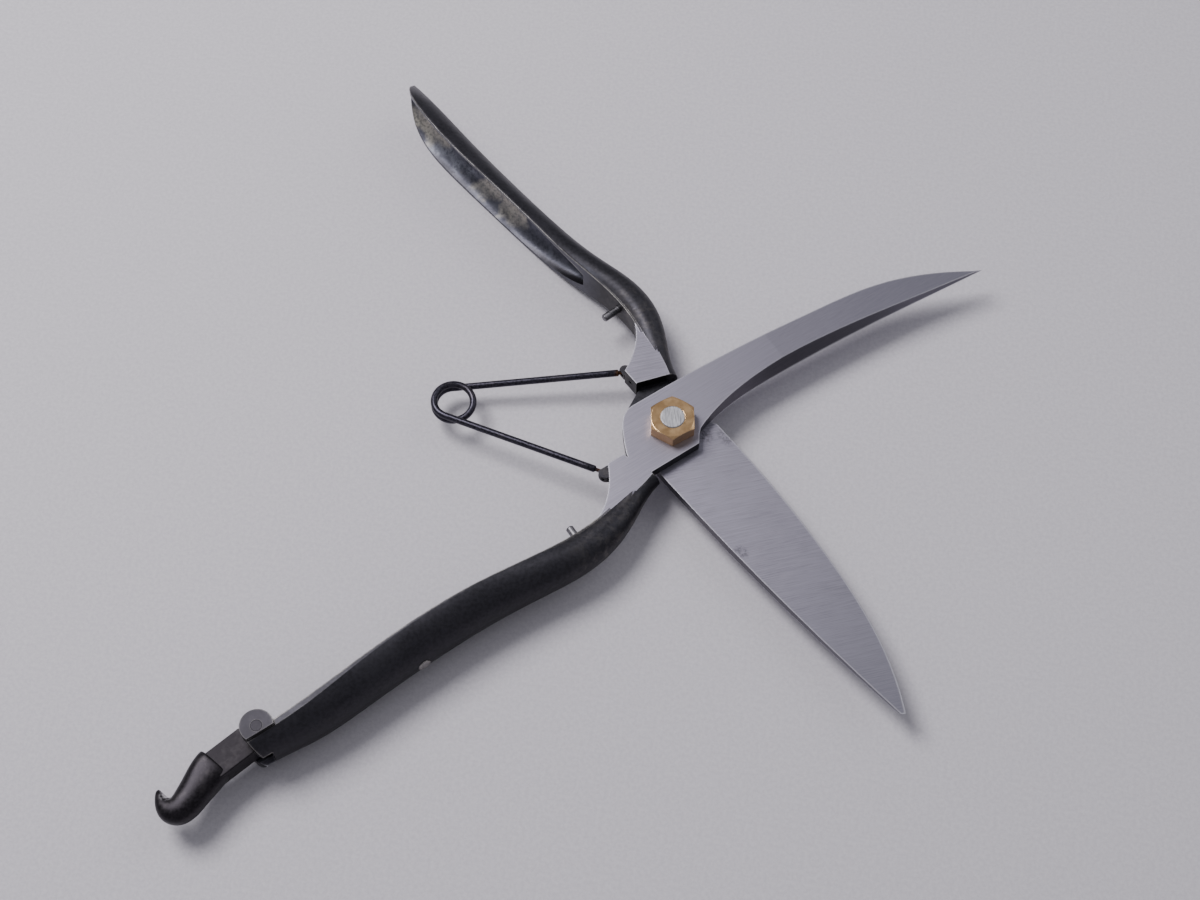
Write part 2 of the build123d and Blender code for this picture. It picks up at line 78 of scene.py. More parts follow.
def mesh_object(name, verts, faces, smooth=True):
    mesh = bpy.data.meshes.new(name)
    mesh.from_pydata([tuple(Vector(v) * MM) for v in verts], [], faces)
    mesh.update()
    bm = bmesh.new()
    bm.from_mesh(mesh)
    bmesh.ops.recalc_face_normals(bm, faces=bm.faces)
    bm.to_mesh(mesh)
    bm.free()
    for face in mesh.polygons:
        face.use_smooth = smooth
    return link_object(bpy.data.objects.new(name, mesh))


# ---- material building -------------------------------------------------------------------

class Nodes:
    """Short names for adding shader nodes to one material. Positions are in mm."""

    def __init__(self, name):
        self.material = bpy.data.materials.new(name)
        self.material.use_nodes = True
        self.tree = self.material.node_tree
        self.shader = self.tree.nodes["Principled BSDF"]
        self.coords = self.tree.nodes.new("ShaderNodeTexCoord")
        self.position = self.math_vector("SCALE", self.coords.outputs["Object"], scale=1000.0)

    def link(self, output, target):
        self.tree.links.new(output, target)

    def put(self, value, socket):
        if isinstance(value, bpy.types.NodeSocket):
            self.link(value, socket)
        else:
            socket.default_value = value

    def math_vector(self, operation, a, b=None, scale=None):
        node = self.tree.nodes.new("ShaderNodeVectorMath")
        node.operation = operation
        self.put(a, node.inputs[0])
        if b is not None:
            self.put(b, node.inputs[1])
        if scale is not None:
            node.inputs["Scale"].default_value = scale
        gives_number = operation in ("DOT_PRODUCT", "DISTANCE")
        return node.outputs["Value" if gives_number else "Vector"]

    def math(self, operation, a, b=0.0, clamp=False):
        node = self.tree.nodes.new("ShaderNodeMath")
        node.operation = operation
        node.use_clamp = clamp
        self.put(a, node.inputs[0])
        self.put(b, node.inputs[1])
        return node.outputs[0]

    def ramp(self, value, low, high, out_low=0.0, out_high=1.0, smooth=True):
        node = self.tree.nodes.new("ShaderNodeMapRange")
        node.interpolation_type = "SMOOTHSTEP" if smooth else "LINEAR"
        self.put(value, node.inputs["Value"])
        node.inputs["From Min"].default_value = low
        node.inputs["From Max"].default_value = high
        node.inputs["To Min"].default_value = out_low
        node.inputs["To Max"].default_value = out_high
        return node.outputs["Result"]

    def mix(self, factor, a, b):
        node = self.tree.nodes.new("ShaderNodeMix")
        node.data_type = "RGBA"
        self.put(factor, node.inputs["Factor"])
        self.put(a, node.inputs["A"])
        self.put(b, node.inputs["B"])
        return node.outputs["Result"]

    def mix_number(self, factor, a, b):
        node = self.tree.nodes.new("ShaderNodeMix")
        self.put(factor, node.inputs["Factor"])
        self.put(a, node.inputs["A"])
        self.put(b, node.inputs["B"])
        return node.outputs[0]

    def turned(self, angle, stretch=(1.0, 1.0, 1.0)):
        """Object position in mm, turned about Z and stretched."""
        node = self.tree.nodes.new("ShaderNodeVectorRotate")
        node.rotation_type = "Z_AXIS"
        self.link(self.position, node.inputs["Vector"])
        node.inputs["Angle"].default_value = angle
        if stretch == (1.0, 1.0, 1.0):
            return node.outputs[0]
        return self.math_vector("MULTIPLY", node.outputs[0], stretch)

    def noise(self, vector, scale, detail=3.0, roughness=0.55, distortion=0.0):
        node = self.tree.nodes.new("ShaderNodeTexNoise")
        self.link(vector, node.inputs["Vector"])
        node.inputs["Scale"].default_value = scale
        node.inputs["Detail"].default_value = detail
        node.inputs["Roughness"].default_value = roughness
        node.inputs["Distortion"].default_value = distortion
        return node.outputs[0]

    def split(self, vector):
        node = self.tree.nodes.new("ShaderNodeSeparateXYZ")
        self.link(vector, node.inputs[0])
        return node.outputs

    def edge(self, radius):
        """1 on sharp edges and 0 on flat or gently curved surface, and the rounded normal."""
        bevel = self.tree.nodes.new("ShaderNodeBevel")
        bevel.samples = 6
        bevel.inputs["Radius"].default_value = radius * MM
        geometry = self.tree.nodes.new("ShaderNodeNewGeometry")
        dot = self.math_vector("DOT_PRODUCT", bevel.outputs[0], geometry.outputs["Normal"])
        return self.ramp(dot, 0.99, 0.86), bevel.outputs[0]

    def bump(self, height, strength, distance, normal=None):
        node = self.tree.nodes.new("ShaderNodeBump")
        self.put(height, node.inputs["Height"])
        node.inputs["Strength"].default_value = strength
        node.inputs["Distance"].default_value = distance * MM
        if normal is not None:
            self.link(normal, node.inputs["Normal"])
        return node.outputs[0]

    def finish(self, colour, roughness, metallic, normal):
        self.put(colour, self.shader.inputs["Base Color"])
        self.put(roughness, self.shader.inputs["Roughness"])
        self.put(metallic, self.shader.inputs["Metallic"])
        self.link(normal, self.shader.inputs["Normal"])
        return self.material


def shade_of(colour, factor):
    """A colour made darker or brighter, with an alpha of 1."""
    return tuple(c * factor for c in colour) + (1.0,)


# Linear colours. Those without an alpha are base tones that shade_of() scales.
GROUND_STEEL = (0.315, 0.30, 0.36)
STEEL_PAINTED_SHADE = (0.05, 0.045, 0.052, 1.0)
STEEL_STAIN = (0.075, 0.070, 0.078, 1.0)
STEEL_TIP = (0.22, 0.22, 0.26, 1.0)
STEEL_EDGE_HIGHLIGHT = (0.70, 0.69, 0.74, 1.0)
BLACK_SCALE = (0.020, 0.019, 0.023)
SCALE_BLUE = (0.036, 0.035, 0.042, 1.0)
SCALE_FLECK = (0.060, 0.050, 0.042, 1.0)
SCALE_RUBBED = (0.080, 0.072, 0.068, 1.0)
SCALE_PAINTED_SHEEN = (0.075, 0.073, 0.088, 1.0)
SCALE_EDGE = (0.52, 0.50, 0.47, 1.0)
EAR_BLACK = (0.026, 0.024, 0.030, 1.0)
SLATE_DARK = (0.050, 0.051, 0.066, 1.0)
SLATE_PALE = (0.085, 0.085, 0.106, 1.0)
SLATE_CLOUD = (0.120, 0.124, 0.155, 1.0)
SLATE_COOL = (0.21, 0.22, 0.26, 1.0)
WORN_SILVER = (0.50, 0.47, 0.40, 1.0)
WIRE_DARK = (0.020, 0.019, 0.027, 1.0)
WIRE_PALE = (0.062, 0.058, 0.078, 1.0)
WIRE_CLOUD = (0.085, 0.075, 0.085, 1.0)
WIRE_RUST = (0.17, 0.075, 0.03, 1.0)
BOLT_DARK = (0.40, 0.40, 0.42, 1.0)
BOLT_PALE = (0.66, 0.66, 0.69, 1.0)
BOLT_CLOUD = (0.36, 0.35, 0.37, 1.0)
THROAT_HIGHLIGHT = (0.62, 0.60, 0.62, 1.0)

# Places along a half where its surface changes. Between a pair, a mask goes from 0 to 1.
BLADE_FROM = (2.0, 9.0)
BEVEL_FROM = (4.0, 10.0)
PLATES_FROM = (-6.0, -3.0)
TIP_TINT = (45.0, 122.0)
HOLLOW_FROM = (-54.0, -66.0)
EAR_FROM = (-157.0, -160.0)
ELBOW = -36.0


def ground_surface(n, scratch_angle, colour, contrast):
    """Ground steel: fine scratches in one direction, a few long ones, faint stains."""
    fine = n.noise(n.turned(-scratch_angle, (0.11, 5.5, 5.5)), 1.0, 4.0, 0.7)
    broad = n.noise(n.turned(-scratch_angle, (0.03, 1.1, 1.1)), 1.0, 3.0, 0.6)
    cross = n.noise(n.turned(0.9 - scratch_angle, (0.06, 6.0, 6.0)), 1.0, 2.0, 0.5)
    stray = n.ramp(cross, 0.70, 0.76)
    cloud = n.noise(n.position, 0.05, 4.0, 0.55)
    stain = n.ramp(n.noise(n.position, 0.13, 5.0, 0.7, 0.6), 0.66, 0.78)
    light = n.math("ADD", n.math("MULTIPLY", fine, 0.60), n.math("MULTIPLY", broad, 0.10))
    light = n.math("ADD", light, n.math("MULTIPLY", cloud, 0.30))
    shade = n.mix(n.ramp(light, 0.36, 0.64),
                  shade_of(colour, 1.0 - contrast), shade_of(colour, 1.0 + contrast))
    shade = n.mix(n.math("MULTIPLY", stray, 0.25), shade, shade_of(colour, 1.5))
    shade = n.mix(n.math("MULTIPLY", stain, 0.45), shade, shade_of(colour, 0.45))
    rough = n.math("ADD", n.ramp(light, 0.34, 0.66, 0.48, 0.38), n.math("MULTIPLY", stain, 0.10))
    relief = n.math("ADD", n.math("MULTIPLY", fine, 0.7), n.math("MULTIPLY", stray, 0.3))
    return shade, rough, relief


def scale_surface(n, colour, along):
    """Black forge scale: a smooth mottled skin with dull brown flecks, rubbed at the elbow."""
    skin = n.noise(n.position, 0.9, 5.0, 0.62)
    patch = n.noise(n.position, 0.06, 4.0, 0.6)
    fleck = n.ramp(n.noise(n.position, 0.42, 5.0, 0.72, 0.4), 0.56, 0.74)
    shade = n.mix(n.ramp(skin, 0.35, 0.65), shade_of(colour, 0.80), shade_of(colour, 1.30))
    blue = n.math("MULTIPLY", n.ramp(patch, 0.45, 0.65), 0.35)
    shade = n.mix(blue, shade, SCALE_BLUE)
    shade = n.mix(n.math("MULTIPLY", fleck, 0.22), shade, SCALE_FLECK)
    from_elbow = n.math("ABSOLUTE", n.math("ADD", along, -ELBOW))
    rubbed = n.math("MULTIPLY", n.ramp(from_elbow, 24.0, 8.0),
                    n.ramp(n.noise(n.position, 0.30, 5.0, 0.75, 0.5), 0.42, 0.66))
    shade = n.mix(n.math("MULTIPLY", rubbed, 0.80), shade, SCALE_RUBBED)
    rough = n.math("ADD", n.ramp(patch, 0.40, 0.62, 0.34, 0.44), n.math("MULTIPLY", skin, 0.06))
    return shade, rough, skin


def blob(n, u, v, centre_u, centre_v, reach_u, reach_v):
    """A soft oval spot in two coordinates: 1 at its middle, 0 past its reach."""
    a = n.math("MULTIPLY", n.math("ADD", u, -centre_u), 1.0 / reach_u)
    b = n.math("MULTIPLY", n.math("ADD", v, -centre_v), 1.0 / reach_v)
    square = n.math("ADD", n.math("MULTIPLY", a, a), n.math("MULTIPLY", b, b))
    return n.ramp(square, 1.0, 0.05)


# Spots in the grip's hollow: along, height, reach along, reach in height.
COOL_SPOT = (-135.0, 4.0, 9.0, 3.0)
WORN_SPOTS = (
    (-150.0, 6.2, 13.0, 5.0),
    (-119.0, 5.6, 8.0, 4.0),
    (-106.0, 5.4, 10.5, 4.6),
)


def hollow_colour(n, along, height):
    """The dished grip: slate blue, rubbed to a pale yellowish silver at three places."""
    grain = n.noise(n.position, 0.9, 5.0, 0.7, 0.5)
    drift = n.noise(n.position, 0.16, 4.0, 0.6, 0.3)
    slate = n.mix(n.ramp(grain, 0.35, 0.65), SLATE_DARK, SLATE_PALE)
    slate = n.mix(n.math("MULTIPLY", n.ramp(drift, 0.42, 0.62), 0.5), slate, SLATE_CLOUD)
    warp = n.math("SUBTRACT", n.noise(n.position, 0.13, 1.0, 0.4), 0.5)
    along = n.math("ADD", along, n.math("MULTIPLY", warp, 30.0))
    height = n.math("ADD", height, n.math("MULTIPLY", warp, 10.0))
    cool = n.math("MULTIPLY", blob(n, along, height, *COOL_SPOT), n.ramp(grain, 0.3, 0.6))
    slate = n.mix(n.math("MULTIPLY", cool, 0.7), slate, SLATE_COOL)
    worn = 0.0
    for spot in WORN_SPOTS:
        worn = n.math("MAXIMUM", blob(n, along, height, *spot), worn)
    worn = n.math("MULTIPLY", worn, n.ramp(grain, 0.30, 0.62, 0.25, 1.0), clamp=True)
    return n.mix(n.math("MULTIPLY", worn, 0.74), slate, WORN_SILVER)


# Dark stains on the wide blade: along, across, reach.
STAINS = ((47.6, -9.6, 3.4), (60.6, -14.2, 2.6), (7.5, 7.4, 5.0), (12.7, 12.5, 4.5))


def forged_half(name, side, scratch_angle, contrast):
    """One half: ground steel on the blade, plate and shoulder facet, scale on the handle."""
    n = Nodes(name)
    along, across, _ = n.split(n.turned(side * HALF_OPENING))
    rotate = n.tree.nodes.new("ShaderNodeVectorRotate")
    rotate.rotation_type = "Z_AXIS"
    n.link(n.coords.outputs["Normal"], rotate.inputs["Vector"])
    rotate.inputs["Angle"].default_value = side * HALF_OPENING
    _, normal_across, normal_up = n.split(rotate.outputs[0])
    level = n.split(n.position)[2]
    height = n.math("ABSOLUTE", n.math("SUBTRACT", level, MID))
    flatness = n.math("ABSOLUTE", normal_up)

    steel, steel_rough, steel_relief = ground_surface(n, scratch_angle, GROUND_STEEL, contrast)
    black, black_rough, black_relief = scale_surface(n, BLACK_SCALE, along)

    # Where the steel is ground: the blade, the flat faces at the plates' outer level, and the
    # faces on which the plates meet.
    outer = n.math("MULTIPLY", n.ramp(height, 3.3, 3.5), n.ramp(height, 5.4, 5.2))
    mating = n.math("MULTIPLY", n.ramp(height, 0.6, 0.4), n.ramp(along, *PLATES_FROM))
    levels = n.math("ADD", outer, mating, clamp=True)
    flat_face = n.math("MULTIPLY", n.ramp(flatness, 0.996, 0.999), levels)
    blade = n.ramp(along, *BLADE_FROM)
    ground = n.math("MAXIMUM", blade, flat_face, clamp=True)

    # The blade's bevel and side walls get painted shade, and the blade turns bluer toward its tip.
    slope = n.math("MULTIPLY", n.ramp(flatness, 0.97, 0.93), n.ramp(along, *BEVEL_FROM))
    facing = n.math("MULTIPLY", normal_across, float(side))
    bevel = n.math("MULTIPLY", slope, n.ramp(facing, 0.2, 0.4))
    wall = n.ramp(flatness, 0.60, 0.30)
    painted_shade = n.math("MAXIMUM", bevel, wall, clamp=True)
    steel = n.mix(n.math("MULTIPLY", painted_shade, 0.80), steel, STEEL_PAINTED_SHADE)
    for x, y, reach in STAINS if side == WIDE else ():
        spot = n.math("MULTIPLY", blob(n, along, across, x, y, reach, reach * 0.7),
                      n.ramp(n.noise(n.position, 0.9, 5.0, 0.75), 0.40, 0.60))
        steel = n.mix(n.math("MULTIPLY", spot, 0.6), steel, STEEL_STAIN)
    tint = n.ramp(along, *TIP_TINT)
    steel = n.mix(n.math("MULTIPLY", tint, 0.45), steel, STEEL_TIP)

    # The handle: painted sheen on what faces up, and the hollow's own colour on its inner side.
    inner = n.ramp(n.math("MULTIPLY", normal_across, float(-side)), 0.10, 0.35)
    inner = n.math("MULTIPLY", inner, n.ramp(along, *HOLLOW_FROM))
    inner = n.math("MULTIPLY", inner, n.ramp(flatness, 0.97, 0.90), clamp=True)
    painted_sheen = n.math("MULTIPLY", n.ramp(normal_up, 0.15, 0.90),
                   n.ramp(black_relief, 0.25, 0.65, 0.55, 1.0))
    black = n.mix(n.math("MULTIPLY", painted_sheen, 0.40), black, SCALE_PAINTED_SHEEN)
    black = n.mix(inner, black, hollow_colour(n, along, level))

    # Wear on the handle's edges, strongest near the elbow, the darker ear, and a painted highlight
    # on the steel's edges.
    edges = n.edge(0.85)[0]
    thin, rounded = n.edge(0.18)
    rub = n.ramp(n.noise(n.position, 0.22, 4.0, 0.7), 0.38, 0.62, 0.42, 1.0)
    upper = n.ramp(level, MID + 3.0, MID + 4.2)
    wear = n.math("MULTIPLY", n.math("MULTIPLY", edges, rub), upper)
    near_elbow = n.ramp(along, -110.0, -40.0, 0.55, 1.0)
    black = n.mix(n.math("MULTIPLY", wear, near_elbow), black, SCALE_EDGE)
    ear = n.math("MULTIPLY", n.ramp(flatness, 0.95, 0.99), n.ramp(along, *EAR_FROM))
    black = n.mix(n.math("MULTIPLY", ear, 0.8), black, EAR_BLACK)
    # The steel's edges are painted bright: mostly a painted highlight line, partly rubbed wear.
    steel_edge_highlight = n.math("MAXIMUM", n.math("MULTIPLY", edges, 0.65),
                         n.math("MULTIPLY", thin, 0.80))
    steel = n.mix(steel_edge_highlight, steel, STEEL_EDGE_HIGHLIGHT)

    colour = n.mix(ground, black, steel)
    rough = n.mix_number(ground, black_rough, steel_rough)
    relief = n.mix_number(ground, black_relief, n.math("MULTIPLY", steel_relief, 0.20))
    bump = n.bump(relief, 0.30, 0.05, rounded)
    metallic = n.ramp(ground, 0.0, 1.0, 0.75, 1.0)
    return n.finish(colour, rough, metallic, bump)


def plain_metal(name, dark, pale, rough_low, rough_high, grain, bump, edge_colour=None,
                metallic=1.0):
    """A small steel or brass piece: mottled colour, uneven gloss, rubbed edges."""
    n = Nodes(name)
    mottle = n.noise(n.position, grain, 5.0, 0.65, 0.2)
    broad = n.noise(n.position, 0.25, 3.0, 0.6)
    both = n.math("ADD", n.math("MULTIPLY", mottle, 0.6), n.math("MULTIPLY", broad, 0.4))
    colour = n.mix(n.ramp(both, 0.36, 0.64), dark, pale)
    edges, rounded = n.edge(0.22)
    if edge_colour is not None:
        rub = n.math("MULTIPLY", edges, n.ramp(broad, 0.40, 0.60, 0.35, 0.9))
        colour = n.mix(rub, colour, edge_colour)
    rough = n.ramp(both, 0.36, 0.64, rough_low, rough_high)
    return n.finish(colour, rough, metallic, n.bump(mottle, bump, 0.04, rounded))


def bolt_material():
    """The bolt: steel filed in one direction across its end."""
    n = Nodes("bolt_steel")
    marks = n.noise(n.turned(math.radians(-9.4), (5.0, 0.35, 5.0)), 1.0, 4.0, 0.6)
    cloud = n.noise(n.position, 0.5, 3.0, 0.6)
    colour = n.mix(n.ramp(marks, 0.38, 0.62), BOLT_DARK, BOLT_PALE)
    colour = n.mix(n.math("MULTIPLY", cloud, 0.25), colour, BOLT_CLOUD)
    rough = n.ramp(marks, 0.3, 0.7, 0.34, 0.46)
    rounded = n.edge(0.2)[1]
    return n.finish(colour, rough, 1.0, n.bump(marks, 0.25, 0.03, rounded))


def paint(node, material):
    mesh = NODES[node].data
    mesh.materials.clear()
    mesh.materials.append(material)


# The direction in which each half was ground, from the world's x.
SCRATCH_WIDE = math.radians(22.4)
SCRATCH_HOOK = math.radians(43.25)
paint("wide_blade_half", forged_half("forged_wide_half", WIDE, SCRATCH_WIDE, 0.30))
paint("hook_blade_half", forged_half("forged_hook_half", HOOK, SCRATCH_HOOK, 0.17))
paint("pivot_bolt", bolt_material())
paint("pivot_nut", plain_metal(
    "nut_brass", (0.80, 0.50, 0.24, 1), (0.86, 0.57, 0.30, 1), 0.19, 0.27,
    grain=0.35, bump=0.04, edge_colour=(0.98, 0.80, 0.58, 1)))
stud_steel = plain_metal(
    "stud_steel", (0.10, 0.10, 0.11, 1), (0.30, 0.29, 0.31, 1), 0.34, 0.50,
    grain=1.8, bump=0.25, edge_colour=(0.40, 0.39, 0.40, 1))
for stud in ("upper_stud", "lower_stud"):
    paint(stud, stud_steel)
paint("latch_leaf_spring", plain_metal(
    "dark_pin", (0.030, 0.029, 0.032, 1), (0.085, 0.082, 0.086, 1), 0.38, 0.52,
    grain=1.4, bump=0.3, edge_colour=(0.20, 0.19, 0.19, 1), metallic=0.8))
paint("latch_pin", plain_metal(
    "pin_steel", (0.022, 0.020, 0.025, 1), (0.030, 0.028, 0.034, 1), 0.40, 0.50,
    grain=1.4, bump=0.3, metallic=0.8))
paint("leaf_spring_rivet", plain_metal(
    "rivet_steel", (0.26, 0.24, 0.23, 1), (0.46, 0.44, 0.43, 1), 0.34, 0.48,
    grain=1.6, bump=0.2, edge_colour=(0.55, 0.53, 0.52, 1)))


# ---- the spring: one wire ------------------------------------------------------------------

WIRE_RADIUS = 1.15
TANG_RADIUS = 0.62  # of the thin ends in the lugs
COIL_RADIUS = 6.45
COIL_X = -72.8
COIL_DROP = 2.7  # how far the coil's middle lies below MID
LAYER = 1.25  # how far each leg's end lies above or below MID
LOWER_TANG = 3.75  # lengths of the thin ends
UPPER_TANG = 2.2
TURN_GAP = 0.12  # between the coil's turns
LUG = (-27.0, 1.6, 0.0)  # in the wide half's frame
SEGMENTS = 14
LEG_STEPS = 26
COIL_STEPS = 110


def ring_points(centre, tangent, radius):
    side = tangent.cross(Vector((0, 0, 1))).normalized()
    up = side.cross(tangent).normalized()
    points = []
    for index in range(SEGMENTS):
        angle = 2 * math.pi * index / SEGMENTS
        points.append(centre + (side * math.cos(angle) + up * math.sin(angle)) * radius)
    return points


def tube(path, radii):
    """Rings along a path, with a flat cap at each end."""
    verts, faces = [], []
    for index, point in enumerate(path):
        before = path[max(index - 1, 0)]
        after = path[min(index + 1, len(path) - 1)]
        verts += ring_points(point, (after - before).normalized(), radii[index])
    for index in range(len(path) - 1):
        for k in range(SEGMENTS):
            a = index * SEGMENTS + k
            b = index * SEGMENTS + (k + 1) % SEGMENTS
            faces.append((a, b, b + SEGMENTS, a + SEGMENTS))
    faces.append(tuple(range(SEGMENTS)))
    last = (len(path) - 1) * SEGMENTS
    faces.append(tuple(range(last, last + SEGMENTS)))
    return verts, faces


def spring_path():
    """The wire's middle line from lug to lug, and its radius at each point."""
    lug = to_world(LUG, WIDE)
    span = math.hypot(lug.x - COIL_X, lug.y)
    touch = math.atan2(lug.y, lug.x - COIL_X) + math.acos(COIL_RADIUS / span)
    sweep = 4 * math.pi - 2 * touch
    coil_level = MID - COIL_DROP
    pitch = 2 * WIRE_RADIUS + TURN_GAP
    rise = pitch * sweep / (2 * math.pi) / 2

    def leg(side, level, tang):
        """From the lug, level along the thin end, then down to the coil."""
        start = Vector((lug.x, side * lug.y, MID + level))
        end = Vector((COIL_X + COIL_RADIUS * math.cos(touch), side * COIL_RADIUS * math.sin(touch),
                      coil_level + math.copysign(rise, level)))
        length = Vector((end.x - start.x, end.y - start.y)).length
        points, radii = [], []
        for distance, radius in ((0.0, TANG_RADIUS), (tang - 0.35, TANG_RADIUS),
                                 (tang - 0.15, 0.68), (tang, 0.95)):
            point = start.lerp(end, distance / length)
            point.z = start.z
            points.append(point)
            radii.append(radius)
        shoulder = points[-1]
        shares = [0.35 / length] + [index / (LEG_STEPS - 1) for index in range(2, LEG_STEPS)]
        points += [shoulder.lerp(end, share) for share in shares]
        radii += [WIRE_RADIUS] * len(shares)
        return points, radii

    lower, lower_radii = leg(HOOK, LAYER, LOWER_TANG)
    upper, upper_radii = leg(WIDE, -LAYER, UPPER_TANG)
    coil = []
    for index in range(1, COIL_STEPS):
        share = index / COIL_STEPS
        angle = -touch - sweep * share
        coil.append(Vector((COIL_X + COIL_RADIUS * math.cos(angle), COIL_RADIUS * math.sin(angle),
                            coil_level + rise * (1 - 2 * share))))
    path = lower + coil + upper[::-1]
    radii = lower_radii + [WIRE_RADIUS] * len(coil) + upper_radii[::-1]
    return path, radii


def spring_material():
    """Blued spring wire: blue-black, rubbed a little, with rust at the thin ends."""
    n = Nodes("spring_wire")
    mottle = n.noise(n.position, 1.5, 5.0, 0.65)
    broad = n.noise(n.position, 0.12, 3.0, 0.6)
    colour = n.mix(n.ramp(mottle, 0.35, 0.65), WIRE_DARK, WIRE_PALE)
    colour = n.mix(n.math("MULTIPLY", n.ramp(broad, 0.5, 0.7), 0.4), colour, WIRE_CLOUD)
    x = n.split(n.position)[0]
    rust = n.math("MULTIPLY", n.ramp(x, -22.5, -20.2), n.ramp(mottle, 0.30, 0.50))
    colour = n.mix(rust, colour, WIRE_RUST)
    rough = n.ramp(mottle, 0.3, 0.7, 0.26, 0.42)
    return n.finish(colour, rough, 0.85, n.bump(mottle, 0.2, 0.03))


path, radii = spring_path()
verts, faces = tube(path, radii)
spring = mesh_object("spring_wire_piece", verts, faces)
spring.data.materials.append(spring_material())
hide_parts("spring_upper_leg", "spring_lower_leg")
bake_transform(spring)


# ---- the latch: a flat link that swells into a rounded hook --------------------------------

# Sections of the hook, in the hook half's frame: centre, half width, direction of the width
# in degrees, half height.
HOOK_SECTIONS = (
    ((-179.0, -17.1), 5.95, 106.0, 4.35),
    ((-181.3, -17.95), 6.0, 105.0, 4.55),
    ((-184.6, -19.35), 5.75, 104.0, 4.6),
    ((-188.2, -21.15), 5.3, 103.0, 4.55),
    ((-191.6, -22.85), 5.15, 97.0, 4.45),
    ((-194.4, -23.5), 4.85, 84.0, 4.3),
    ((-196.5, -22.95), 4.35, 62.0, 4.0),
    ((-197.75, -21.5), 3.65, 40.0, 3.6),
    ((-198.2, -19.6), 2.85, 24.0, 3.1),
    ((-198.0, -17.6), 2.05, 16.0, 2.5),
    ((-197.6, -15.8), 1.25, 10.0, 1.8),
    ((-197.2, -14.6), 0.55, 8.0, 0.9),
)
AROUND = 28
LATCH_PIN = (-163.2, -17.5)
THROAT = (-195.2, -18.2, 1.5)
LINK_HALF_HEIGHT = 3.5


def superellipse(angle, power):
    """A point of a circle that is squarer the higher the power is."""
    c, s = math.cos(angle), math.sin(angle)
    return (math.copysign(abs(c) ** (2 / power), c), math.copysign(abs(s) ** (2 / power), s))


def hook_body():
    """The hook as a horn of rounded sections; its thick end is a crisp step on the link."""
    verts, faces = [], []
    rings = [HOOK_SECTIONS[0]] + list(HOOK_SECTIONS)
    for index, (centre, half_width, turn, half_height) in enumerate(rings):
        shrink = 0.93 if index == 0 else 1.0
        shift = 0.35 if index == 0 else 0.0
        direction = Vector((math.cos(math.radians(turn)), math.sin(math.radians(turn))))
        power = 2.9 if index < 4 else 2.35
        for k in range(AROUND):
            u, v = superellipse(2 * math.pi * k / AROUND, power)
            local = (centre[0] + shift + direction.x * u * half_width * shrink,
                     centre[1] + direction.y * u * half_width * shrink,
                     v * half_height * shrink)
            verts.append(to_world(local, HOOK))
    for index in range(len(rings) - 1):
        for k in range(AROUND):
            a = index * AROUND + k
            b = index * AROUND + (k + 1) % AROUND
            faces.append((a, b, b + AROUND, a + AROUND))
    faces.append(tuple(range(AROUND)))
    last = (len(rings) - 1) * AROUND
    faces.append(tuple(range(last, last + AROUND)))
    return verts, faces


def prism(outline, low, high):
    """A flat piece in the hook half's frame."""
    verts = [to_world((x, y, low), HOOK) for x, y in outline]
    verts += [to_world((x, y, high), HOOK) for x, y in outline]
    count = len(outline)
    faces = [tuple(range(count)), tuple(range(count, 2 * count))]
    for k in range(count):
        faces.append((k, (k + 1) % count, count + (k + 1) % count, count + k))
    return verts, faces


def link_outline():
    """The link: round the pin at one end, square inside the hook at the other."""
    (x, y), radius = LATCH_PIN, 3.6
    points = []
    for index in range(25):
        angle = math.radians(-98 + 175 * index / 24)
        points.append((x + radius * math.cos(angle), y + radius * math.sin(angle)))
    points += [(-168.0, -12.2), (-182.6, -13.9), (-179.6, -22.9)]
    return points


def latch_material(name, dark, pale, rub, throat):
    """Black forged steel, glossier, with a painted highlight in the hook's throat if it has one.
    """
    n = Nodes(name)
    mottle = n.noise(n.position, 1.2, 5.0, 0.65, 0.2)
    broad = n.noise(n.position, 0.22, 3.0, 0.6)
    colour = n.mix(n.ramp(mottle, 0.36, 0.64), dark, pale)
    colour = n.mix(n.math("MULTIPLY", n.ramp(broad, 0.48, 0.62), 0.35), colour, rub)
    edges, rounded = n.edge(0.3)
    colour = n.mix(n.math("MULTIPLY", edges, n.ramp(mottle, 0.4, 0.6, 0.1, 0.8)), colour, rub)
    if throat:
        # A painted highlight in the hook's throat.
        distance = n.math_vector("DISTANCE", n.position, tuple(to_world(THROAT, HOOK)))
        throat_highlight = n.math("MULTIPLY", n.ramp(distance, 3.2, 0.8), n.ramp(mottle, 0.42, 0.55))
        colour = n.mix(throat_highlight, colour, THROAT_HIGHLIGHT)
    rough_low, rough_high = (0.34, 0.46) if throat else (0.46, 0.58)
    rough = n.ramp(mottle, 0.3, 0.7, rough_low, rough_high)
    return n.finish(colour, rough, 0.8, n.bump(mottle, 0.3, 0.05, rounded))


verts, faces = hook_body()
hook = mesh_object("latch_hook_body", verts, faces)
hook.data.materials.append(latch_material(
    "latch_black", (0.014, 0.012, 0.015, 1), (0.026, 0.023, 0.028, 1),
    (0.050, 0.045, 0.048, 1), throat=True))
subdivision = hook.modifiers.new("rounding", "SUBSURF")
subdivision.levels = 1
subdivision.render_levels = 2
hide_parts("latch_hook")
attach(hook, "latch")

verts, faces = prism(link_outline(), -LINK_HALF_HEIGHT, LINK_HALF_HEIGHT)
link_bar = mesh_object("latch_link_bar", verts, faces, smooth=False)
bevel = link_bar.modifiers.new("worn_edges", "BEVEL")
bevel.width = 0.35 * MM
bevel.segments = 3
bevel.limit_method = "ANGLE"
link_bar.data.materials.append(latch_material(
    "latch_link_steel", (0.017, 0.015, 0.018, 1), (0.026, 0.023, 0.027, 1),
    (0.040, 0.036, 0.040, 1), throat=False))
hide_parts("latch_hook")
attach(link_bar, "latch")


# ---- stage, light, camera ------------------------------------------------------------------

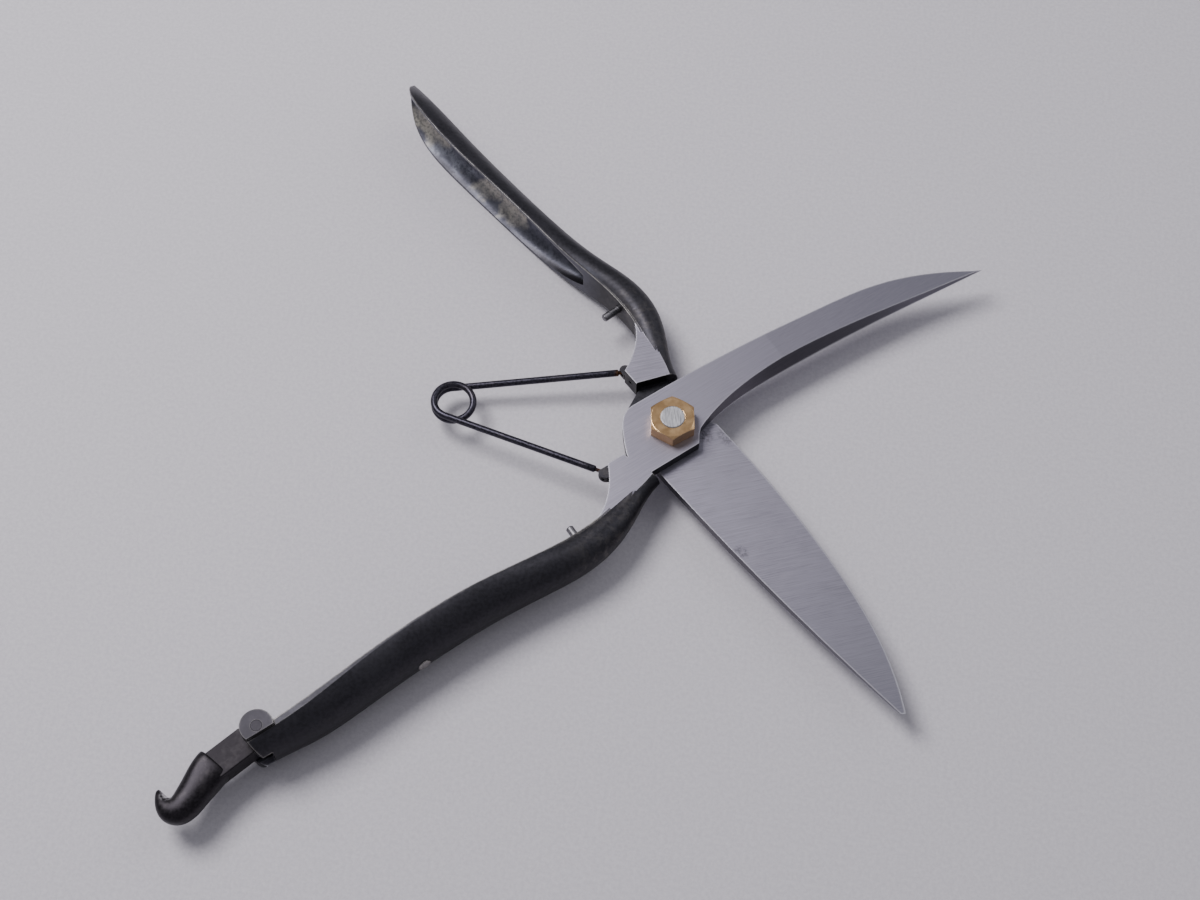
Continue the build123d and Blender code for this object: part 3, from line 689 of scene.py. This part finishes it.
FLOOR_HALF_SIZE = 2.5
FLOOR_GAP = 0.00005  # keeps the floor just under the lowest faces
FLOOR_DARK = (0.60, 0.575, 0.625, 1)
FLOOR_PALE = (0.70, 0.675, 0.72, 1)
FLOOR_CLOUD = (0.60, 0.58, 0.62, 1)


def stage_floor():
    size = FLOOR_HALF_SIZE
    mesh = bpy.data.meshes.new("floor")
    mesh.from_pydata([(-size, -size, 0), (size, -size, 0), (size, size, 0), (-size, size, 0)], [],
                     [(0, 1, 2, 3)])
    floor = link_object(bpy.data.objects.new("floor", mesh))
    floor.location.z = -FLOOR_GAP
    n = Nodes("floor")
    grain = n.noise(n.position, 0.8, 4.0, 0.7)
    cloud = n.noise(n.position, 0.004, 2.0, 0.5)
    colour = n.mix(n.ramp(grain, 0.3, 0.7), FLOOR_DARK, FLOOR_PALE)
    colour = n.mix(n.math("MULTIPLY", cloud, 0.2), colour, FLOOR_CLOUD)
    mesh.materials.append(n.finish(colour, 0.85, 0.0, n.bump(grain, 0.25, 0.1)))


def area_light(name, location, size, energy, colour):
    """A round light that faces the middle of the object."""
    data = bpy.data.lights.new(name, "AREA")
    data.shape = "DISK"
    data.size = size
    data.energy = energy
    data.color = colour
    obj = link_object(bpy.data.objects.new(name, data))
    obj.location = location
    obj.rotation_euler = (-Vector(location)).to_track_quat("-Z", "Y").to_euler()


def world_light():
    world = bpy.data.worlds.new("studio")
    world.use_nodes = True
    scene.world = world
    background = world.node_tree.nodes["Background"]
    background.inputs["Color"].default_value = (0.80, 0.80, 0.87, 1)
    background.inputs["Strength"].default_value = 0.32


def set_camera():
    data = bpy.data.cameras.new("camera")
    data.sensor_width = 36.0
    data.lens = 60.0
    camera = link_object(bpy.data.objects.new("camera", data))
    camera.location = (0.0271, -0.3073, 0.5879)
    camera.rotation_euler = (math.radians(27.5), 0.0, math.radians(9.4))
    scene.camera = camera


stage_floor()
area_light("key", (-0.60, 0.27, 0.98), size=0.60, energy=13.0, colour=(1.0, 0.98, 1.0))
area_light("fill", (0.9, 0.7, 1.0), size=1.2, energy=3.0, colour=(0.95, 0.96, 1.0))
world_light()
set_camera()
